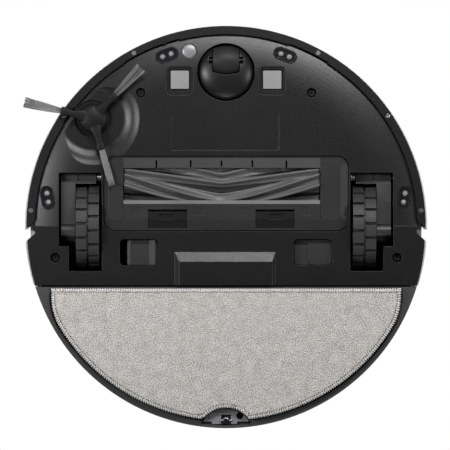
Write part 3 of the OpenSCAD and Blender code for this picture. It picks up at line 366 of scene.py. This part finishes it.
lens_glass()
fabric("mop_fabric", (0.255, 0.25, 0.237), (0.90, 0.885, 0.85), 1250, 0.085)
fabric("mop_thread", (0.86, 0.86, 0.85), (0.98, 0.98, 0.97), 1500, 0.2, 0.02)
# Painted shadow: dark pieces that stand in for the shade between the pad's whip stitches
fabric("stitch_shadow_paint", (0.06, 0.06, 0.06), (0.12, 0.12, 0.12), 1500, 0.2, 0.02)


# Two nodes are finished a little differently from the rest of their slot
moulded("caster_plastic", (0.020, 0.020, 0.0205), 0.55, specular=0.4)
moulded("guard_plastic", (0.032, 0.032, 0.0325), 0.42, radius=0.0008, specular=0.22)
FINISHES = {"caster_wheel": "caster_plastic", "brush_guard": "guard_plastic"}


def paint_frame():
    """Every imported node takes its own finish, or else the material of its slot."""
    slots = {entry["node"]: entry["material_slot"] for entry in frame["record"]["subparts"]}
    for name, obj in frame["nodes"].items():
        finish = FINISHES.get(name) or slots.get(name, "black_plastic")
        obj.data.materials.clear()
        obj.data.materials.append(MATERIALS[finish])


paint_frame()


# ---------- mesh helpers ----------


def shade_smooth(obj):
    for poly in obj.data.polygons:
        poly.use_smooth = True


def mesh_object(name, verts, faces, material):
    """A smooth shaded object in the scene, with its material."""
    data = bpy.data.meshes.new(name)
    data.from_pydata([tuple(v) for v in verts], [], faces)
    data.validate()
    obj = bpy.data.objects.new(name, data)
    SCENE.collection.objects.link(obj)
    obj.data.materials.append(MATERIALS[material])
    shade_smooth(obj)
    return obj


def apply_modifiers(obj):
    """Turns what the modifiers make into the object's own mesh."""
    bpy.context.view_layer.update()
    graph = bpy.context.evaluated_depsgraph_get()
    final = bpy.data.meshes.new_from_object(obj.evaluated_get(graph))
    obj.modifiers.clear()
    obj.data = final


def join_parts(parts):
    """One list of vertices and one of faces, from the lists of several parts."""
    verts, faces = [], []
    for v, f in parts:
        start = len(verts)
        verts.extend(v)
        faces.extend(tuple(i + start for i in face) for face in f)
    return verts, faces


def sweep(rings):
    """Vertices and faces of a closed skin over rings of points, all with the same count."""
    count = len(rings[0])
    verts = [v for ring in rings for v in ring]
    faces = []
    for i in range(len(rings) - 1):
        for k in range(count):
            a, b = i * count + k, i * count + (k + 1) % count
            faces.append((a, b, b + count, a + count))
    faces.append(tuple(range(count))[::-1])
    faces.append(tuple((len(rings) - 1) * count + k for k in range(count)))
    return verts, faces


def tube(points, radii, sides):
    """Vertices and faces of a closed tube through the points."""
    rings = []
    for i, p in enumerate(points):
        ahead = points[min(i + 1, len(points) - 1)] - points[max(i - 1, 0)]
        turn = ahead.to_track_quat("Z", "Y").to_matrix()
        ring = []
        for s in range(sides):
            angle = 2 * math.pi * s / sides
            x, y = math.cos(angle) * radii[i], math.sin(angle) * radii[i]
            ring.append(p + turn @ Vector((x, y, 0)))
        rings.append(ring)
    return sweep(rings)


def remesh(obj, voxel):
    """Melts the parts of a mesh into one even skin."""
    modifier = obj.modifiers.new("remesh", "REMESH")
    modifier.mode = "VOXEL"
    modifier.voxel_size = voxel
    apply_modifiers(obj)


def soften(obj, rounds):
    """Rounds off the edges and the places where parts meet."""
    modifier = obj.modifiers.new("smooth", "SMOOTH")
    modifier.iterations = rounds
    apply_modifiers(obj)


def squared(value, power):
    """A value from -1 to 1 pushed outwards, which squares off a round section."""
    return math.copysign(abs(value) ** power, value)


# ---------- main brush blades ----------

BRUSH_AXIS = Vector((0, -37.0, 20.5)) * MM
# Angle of each kind of blade at its two ends and at its middle, in degrees
BLADE_SWEEPS = ((-48.6, -3.5), (-30.0, 60.0), (2.0, 88.5))
# Radius and half thickness in millimetres, from the blade's root to its rounded tip
BLADE_PROFILE = (
    (11.8, 4.2), (12.3, 2.6), (13.2, 1.75), (15.0, 1.35), (16.8, 1.2), (17.5, 0.95), (17.9, 0.45),
)
BLADE_STEPS = 96
# How much of the half length the rounding at the V's point takes up
BLADE_ROUNDING = 0.035


def blade_ring(x, angle):
    """Outline of one blade where it crosses x, standing at that angle from straight down."""
    out = Vector((0, math.sin(angle), -math.cos(angle)))
    side = Vector((0, math.cos(angle), math.sin(angle)))
    core = BRUSH_AXIS + Vector((x, 0, 0))
    front = [core + out * r * MM + side * t * MM for r, t in BLADE_PROFILE]
    back = [core + out * r * MM - side * t * MM for r, t in BLADE_PROFILE]
    return front + back[::-1]


def make_brush_blades():
    """Three kinds of swept rubber blade, each three times round the core."""
    low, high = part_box("brush_blades")
    middle, half_length = (low.x + high.x) / 2, (high.x - low.x) / 2
    parts = []
    for turn in (0, 120, 240):
        for end, mid in BLADE_SWEEPS:
            rings = []
            for i in range(BLADE_STEPS + 1):
                s = 2 * i / BLADE_STEPS - 1
                run = math.sqrt(s * s + BLADE_ROUNDING**2) - BLADE_ROUNDING * (1 - s * s)
                run = min(1.0, run)
                angle = math.radians(turn + mid + (end - mid) * run)
                rings.append(blade_ring(middle + s * half_length, angle))
            parts.append(sweep(rings))
    verts, faces = join_parts(parts)
    obj = mesh_object("brush_fins", verts, faces, "blade_rubber")
    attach(obj, "main_brush")
    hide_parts("brush_blades")


# ---------- side brush arms ----------

SIDE_BRUSH = Vector((-115.8, -94.4, 0)) * MM
ARM_ANGLES = [math.radians(a) for a in (-46, -167, 74)]
# The hub's radii and its heights above the floor, in millimetres
HUB_R = 13.4
HUB_TOP = 14.3
BORE_R = 3.5
BORE_END = 8.2
AXIS_GAP = 0.3
DOME_R = HUB_R * 0.93
DOME_EDGE = 8
DOME_DEPTH = 4.5
HUB_RIM = [(HUB_R * 0.94, 8.2), (HUB_R, 8.6), (HUB_R, HUB_TOP)]
HUB_SIDES = 72
HUB_VOXEL = 0.42 * MM
HUB_ROUNDS = 3
# Along an arm, in millimetres: distance from the axis, half width, lower height, upper height
ARM_STATIONS = (
    (3, 5.4, 4.4, 9.5), (9, 5.2, 4.2, 9.2), (13, 4.2, 4.0, 8.8),
    (17, 3.0, 4.0, 8.0), (21, 2.9, 4.0, 7.8), (23.4, 3.2, 4.0, 7.8),
    (24, 3.9, 3.9, 7.9), (28.0, 4.1, 3.9, 7.9), (28.5, 3.6, 4.2, 7.6),
)
ARM_SIDES = 16
# Powers that square off an arm's section, across it and upwards
ARM_SQUARE_ACROSS = 0.55
ARM_SQUARE_UP = 0.7


def hub_dome():
    """The hub as a turned body with a rim at its edge and the shaft's bore from above."""
    outline = [(BORE_R, HUB_TOP), (BORE_R, BORE_END), (AXIS_GAP, BORE_END)]
    outline.append((AXIS_GAP, DOME_EDGE - DOME_DEPTH))
    for step in range(1, 10):
        slope = step * math.pi / 20
        outline.append((DOME_R * math.sin(slope), DOME_EDGE - DOME_DEPTH * math.cos(slope)))
    outline += HUB_RIM
    verts, faces = [], []
    for k in range(HUB_SIDES):
        angle = 2 * math.pi * k / HUB_SIDES
        x, y = math.cos(angle), math.sin(angle)
        verts.extend(SIDE_BRUSH + Vector((r * x, r * y, z)) * MM for r, z in outline)
    count = len(outline)
    for k in range(HUB_SIDES):
        start, ahead = k * count, (k + 1) % HUB_SIDES * count
        for i in range(count):
            after = (i + 1) % count
            faces.append((start + i, ahead + i, ahead + after, start + after))
    return verts, faces


def arm_part(angle):
    """One rubber arm, waisted in the middle and square where it holds its tuft."""
    turn = Matrix.Rotation(angle, 3, "Z")
    rings = []
    for r, half, low, high in ARM_STATIONS:
        ring = []
        for k in range(ARM_SIDES):
            t = 2 * math.pi * k / ARM_SIDES
            y = half * squared(math.cos(t), ARM_SQUARE_ACROSS)
            lift = squared(math.sin(t), ARM_SQUARE_UP)
            z = (low + high) / 2 + (high - low) / 2 * lift
            ring.append(SIDE_BRUSH + turn @ Vector((r, y, z)) * MM)
        rings.append(ring)
    return sweep(rings)


def make_side_brush():
    """The hub and its three arms, moulded in one."""
    verts, faces = join_parts([hub_dome()] + [arm_part(a) for a in ARM_ANGLES])
    hub = mesh_object("side_brush_arms", verts, faces, "arm_rubber")
    remesh(hub, HUB_VOXEL)
    soften(hub, HUB_ROUNDS)
    shade_smooth(hub)
    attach(hub, "side_brush")
    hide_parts("side_brush_hub")


# ---------- side brush bristles ----------

# Of each tuft: half width at its tips in millimetres, the power that parts its bristles to the
# sides (under 1 leaves the middle thin), and their number
TUFT_SPREAD = (4.7, 4.6, 2.7)
TUFT_CURL = (0.45, 0.9, 1.0)
TUFT_COUNT = (46, 150, 110)
# Distance from the brush's axis to the bristles' roots and to the longest tips
TUFT_ROOT_R = 27.5 * MM
TUFT_TIP_R = 61.2 * MM
TUFT_ROOT_HALF = 2.3
BRISTLE_POINTS = 6
BRISTLE_SIDES = 5
BRISTLE_TAPER = 0.25
BRISTLE_ARCH = 0.5


def make_bristles():
    """Three tufts of loose bristles that fan out from the arms' ends."""
    rng = random.Random(7)
    box_low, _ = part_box("side_brush_bristles")
    last = BRISTLE_POINTS - 1
    parts = []
    for angle, spread, curl, count in zip(ARM_ANGLES, TUFT_SPREAD, TUFT_CURL, TUFT_COUNT):
        turn = Matrix.Rotation(angle, 3, "Z")
        for _ in range(count):
            across = rng.uniform(-1, 1)
            across = squared(across, curl)
            root = Vector((TUFT_ROOT_R, across * TUFT_ROOT_HALF * MM, rng.uniform(5.0, 7.0) * MM))
            reach = TUFT_TIP_R - rng.uniform(0, 1.6) * MM
            lean = across * spread * MM + rng.uniform(-0.3, 0.3) * MM
            tip = Vector((reach, lean, box_low.z + rng.uniform(0.2, 1.3) * MM))
            bow = rng.uniform(-0.6, 0.6) * MM
            points = []
            for i in range(BRISTLE_POINTS):
                t = i / last
                p = root.lerp(tip, t)
                p.y += bow * math.sin(math.pi * t)
                p.z += BRISTLE_ARCH * MM * math.sin(math.pi * t)
                points.append(SIDE_BRUSH + turn @ p)
            radius = rng.uniform(0.13, 0.2) * MM
            radii = [radius * (1 - BRISTLE_TAPER * i / last) for i in range(BRISTLE_POINTS)]
            parts.append(tube(points, radii, BRISTLE_SIDES))
    verts, faces = join_parts(parts)
    obj = mesh_object("side_brush_tufts", verts, faces, "bristle_grey")
    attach(obj, "side_brush")
    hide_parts("side_brush_bristles")


# ---------- mop pad ----------

# The rear arc, the end of the straight sides, and the round cut for the catch
PAD_ARC = Vector((0, -1.0)) * MM
PAD_R = 169.7 * MM
PAD_SIDE_END = 60 * MM
CUT_ARC = Vector((0, 181.8)) * MM
CUT_R = 24.3 * MM
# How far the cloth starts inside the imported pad's outline, above its underside and below its top
PAD_INSET = 0.5 * MM
PAD_LIFT = 0.7 * MM
PAD_DROP = 0.2 * MM
PAD_VOXEL = 1.6 * MM
PAD_ROUNDS = 10
# Random unevenness of the underside, in millimetres
PAD_UNEVEN = 0.03
SWELL_FRAMES = 12
SWELL_PRESSURE = 3.0
SWELL_CAP = 0.35 * MM
# The two pressed seams, in millimetres: where they start and how long they are, how far from the
# middle they lie and how much further they bow out, and how wide and deep they are
SEAM_FRONT = 55
SEAM_LENGTH = 64
SEAM_X = 93.5
SEAM_BOW = 10.5
SEAM_HALF_WIDTH = 0.9
SEAM_DEPTH = 0.7
# The part of a half wave that the bow takes up, and the power that fades a seam at its ends
SEAM_WAVE_START = 0.08
SEAM_WAVE = 0.62
SEAM_END_FADE = 0.3


def arc(centre, radius, start, end, steps):
    """Points on an arc, its start included and its end left out."""
    angles = [start + (end - start) * i / steps for i in range(steps)]
    return [centre + radius * Vector((math.cos(a), math.sin(a))) for a in angles]


def pad_outline():
    """Points round the cloth, counter-clockwise from its front right corner."""
    low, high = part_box("mop_pad")
    rise = PAD_SIDE_END - PAD_ARC.y
    corner_r = (PAD_R**2 - high.x**2 - rise**2) / (2 * (PAD_R - high.x))
    corner = Vector((high.x - corner_r, PAD_SIDE_END))
    radius, cut = PAD_R - PAD_INSET, CUT_R + PAD_INSET
    tangent = math.atan2(rise, corner.x)
    gap = CUT_ARC.y - PAD_ARC.y
    meet = math.acos((radius**2 + gap**2 - cut**2) / (2 * radius * gap))
    half = math.atan2(radius * math.sin(meet), gap - radius * math.cos(meet))
    front = low.y + PAD_INSET
    right = [
        Vector((high.x - PAD_INSET, front + (PAD_SIDE_END - front) * i / 3)) for i in range(3)
    ]
    right += arc(corner, corner_r - PAD_INSET, 0, tangent, 12)
    right += arc(PAD_ARC, radius, tangent, math.pi / 2 - meet, 60)
    dip = arc(CUT_ARC, cut, -math.pi / 2 + half, -math.pi / 2 - half, 18)
    left = [Vector((-p.x, p.y)) for p in right[::-1]]
    return right + dip + [Vector((-right[-1].x, right[-1].y))] + left[1:]


def swell(obj, frames, pressure, cap):
    """Lets cloth swell under its own pressure, and limits how far any point moves."""
    rest = [v.co.copy() for v in obj.data.vertices]
    cloth = obj.modifiers.new("cloth", "CLOTH")
    cloth.settings.use_pressure = True
    cloth.settings.uniform_pressure_force = pressure
    cloth.settings.quality = 4
    cloth.settings.effector_weights.gravity = 0
    for f in range(1, frames + 1):
        SCENE.frame_set(f)
    apply_modifiers(obj)
    SCENE.frame_set(1)
    for vertex, start in zip(obj.data.vertices, rest):
        move = vertex.co - start
        if move.length > cap:
            vertex.co = start + move.normalized() * cap


def seam_x(run):
    """How far a seam is from the middle, a share of the way along it."""
    wave = math.sin(math.pi * (SEAM_WAVE_START + SEAM_WAVE * run))
    return (SEAM_X + SEAM_BOW * wave) * MM


def seam_press(x, y):
    """How deep the nearer seam is pressed in at a place, from 0 to 1."""
    run = (y / MM - SEAM_FRONT) / SEAM_LENGTH
    if not 0 <= run <= 1:
        return 0.0
    off = (abs(x) - seam_x(run)) / (SEAM_HALF_WIDTH * MM)
    return math.exp(-off * off) * math.sin(math.pi * run) ** SEAM_END_FADE


def make_mop_pad():
    """The padded cloth with its pressed seams; gives its skin, for the threads that lie on it."""
    low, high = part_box("mop_pad")
    bottom, top = low.z + PAD_LIFT, high.z - PAD_DROP
    outline = pad_outline()
    count = len(outline)
    verts = [(p.x, p.y, bottom) for p in outline] + [(p.x, p.y, top) for p in outline]
    faces = [tuple(range(count))[::-1], tuple(range(count, 2 * count))]
    faces += [(i, (i + 1) % count, (i + 1) % count + count, i + count) for i in range(count)]
    pad = mesh_object("mop_pad_cloth", verts, faces, "mop_fabric")
    remesh(pad, PAD_VOXEL)
    swell(pad, SWELL_FRAMES, SWELL_PRESSURE, SWELL_CAP)
    soften(pad, PAD_ROUNDS)
    rng = random.Random(3)
    for vertex in pad.data.vertices:
        co = vertex.co
        if co.z < (bottom + top) / 2:
            pressed = SEAM_DEPTH * MM * seam_press(co.x, co.y)
            co.z += pressed + rng.uniform(-PAD_UNEVEN, PAD_UNEVEN) * MM
        co.z = max(co.z, low.z)
    shade_smooth(pad)
    places = [v.co.copy() for v in pad.data.vertices]
    skin = BVHTree.FromPolygons(places, [tuple(f.vertices) for f in pad.data.polygons])
    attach(pad, "mop_module")
    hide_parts("mop_pad")
    return skin


# ---------- stitching round the pad ----------

# Whip stitches over the edge; a lift is how far a thread's middle stands proud of the cloth
STITCH_PITCH = 2.1 * MM
STITCH_LIFT = 0.2 * MM
STITCH_RADII = [0.46 * MM] * 5 + [0.25 * MM]
# Dark pieces just past the stitches' inner ends, painted shadow between the whip stitches; length
# and slant in millimetres
MARK_GAP = 0.35 * MM
MARK_LENGTH = 0.7
MARK_SLANT = 0.25
MARK_LIFT = 0.3 * MM
MARK_R = 0.42 * MM
SEAM_STITCHES = 34
# Places along one seam stitch, as shares of the distance between two, and its radius there
SEAM_STITCH_PLACES = (0.1, 0.4, 0.75)
SEAM_STITCH_RADII = [0.3 * MM, 0.48 * MM, 0.3 * MM]
SEAM_STITCH_LIFT = 0.25 * MM
THREAD_SIDES = 6
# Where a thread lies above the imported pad's underside when it is just past the cloth's edge
EDGE_RISE = 2.0 * MM
RAY_START = -20 * MM


def walk(points, step):
    """Evenly spaced places round a closed outline, each with the outline's direction there."""
    places, spare = [], 0.0
    for i, p in enumerate(points):
        edge = points[(i + 1) % len(points)] - p
        length = edge.length
        at = spare
        while at < length:
            places.append((p + edge * (at / length), edge.normalized()))
            at += step
        spare = at - length
    return places


def thread(name, parts, material):
    """One piece out of many short tubes fixed to the pad, for threads and for painted shadows
    between stitches.
    """
    verts, faces = join_parts(parts)
    obj = mesh_object(name, verts, faces, material)
    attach(obj, "mop_module")


def on_pad(skin, spot, lift):
    """The place on the pad's underside at x and y, standing proud of it by lift."""
    hit = skin.ray_cast(Vector((spot.x, spot.y, RAY_START)), Vector((0, 0, 1)))[0]
    height = hit.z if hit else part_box("mop_pad")[0].z + EDGE_RISE
    return Vector((spot.x, spot.y, height - lift))


def make_stitches(skin):
    """Whip stitches over the pad's edge, painted shadows just inside them, and the two seams'
    thread.
    """
    rng = random.Random(11)
    whips, marks, seams = [], [], []
    last = len(STITCH_RADII) - 1
    for place, along in walk(pad_outline(), STITCH_PITCH):
        inward = Vector((-along.y, along.x))
        reach = rng.uniform(2.3, 2.7) * MM
        slant = along * rng.uniform(0.5, 0.9) * MM
        spots = [place + (inward * reach + slant) * (i / last) for i in range(last + 1)]
        points = [on_pad(skin, spot, STITCH_LIFT) for spot in spots]
        whips.append(tube(points, STITCH_RADII, THREAD_SIDES))
        # Painted shadow: a dark piece just inside each whip stitch
        start = place + inward * (reach + MARK_GAP) + slant
        end = start + inward * MARK_LENGTH * MM + along * MARK_SLANT * MM
        points = [on_pad(skin, spot, MARK_LIFT) for spot in (start, end)]
        marks.append(tube(points, [MARK_R] * 2, THREAD_SIDES))
    for side in (-1, 1):
        for i in range(SEAM_STITCHES):
            points = []
            for part in SEAM_STITCH_PLACES:
                run = (i + part) / SEAM_STITCHES
                spot = Vector((side * seam_x(run), (SEAM_FRONT + SEAM_LENGTH * run) * MM))
                points.append(on_pad(skin, spot, SEAM_STITCH_LIFT))
            seams.append(tube(points, SEAM_STITCH_RADII, THREAD_SIDES))
    thread("mop_pad_stitches", whips + seams, "mop_thread")
    # The second piece holds the dark painted shadows between the whip stitches
    thread("mop_pad_painted_shadows", marks, "stitch_shadow_paint")


# ---------- spring clip of the module's catch ----------

# Across and along from the slider's middle, in millimetres
CLIP_ROUTE = (
    (-5.2, 1.6), (-4.4, -0.4), (-3.3, 0.6), (-2.0, -1.5), (0, -1.7),
    (2.0, -1.5), (3.3, 0.6), (4.4, -0.4), (5.2, 1.6),
)
CLIP_RADII = [0.5 * MM] * 3 + [0.7 * MM] * 3 + [0.5 * MM] * 3
CLIP_SIDES = 8
CLIP_DROP = 0.1 * MM


def make_catch_clip():
    """A bent wire spring that lies across the slider and hooks round it on both sides."""
    low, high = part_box("mop_latch")
    middle = (low.y + high.y) / 2
    z = low.z - CLIP_DROP
    points = [Vector((x * MM, middle + y * MM, z)) for x, y in CLIP_ROUTE]
    verts, faces = tube(points, CLIP_RADII, CLIP_SIDES)
    obj = mesh_object("catch_clip", verts, faces, "spring_steel")
    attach(obj, "mop_catch")


make_brush_blades()
make_side_brush()
make_bristles()
make_stitches(make_mop_pad())
make_catch_clip()
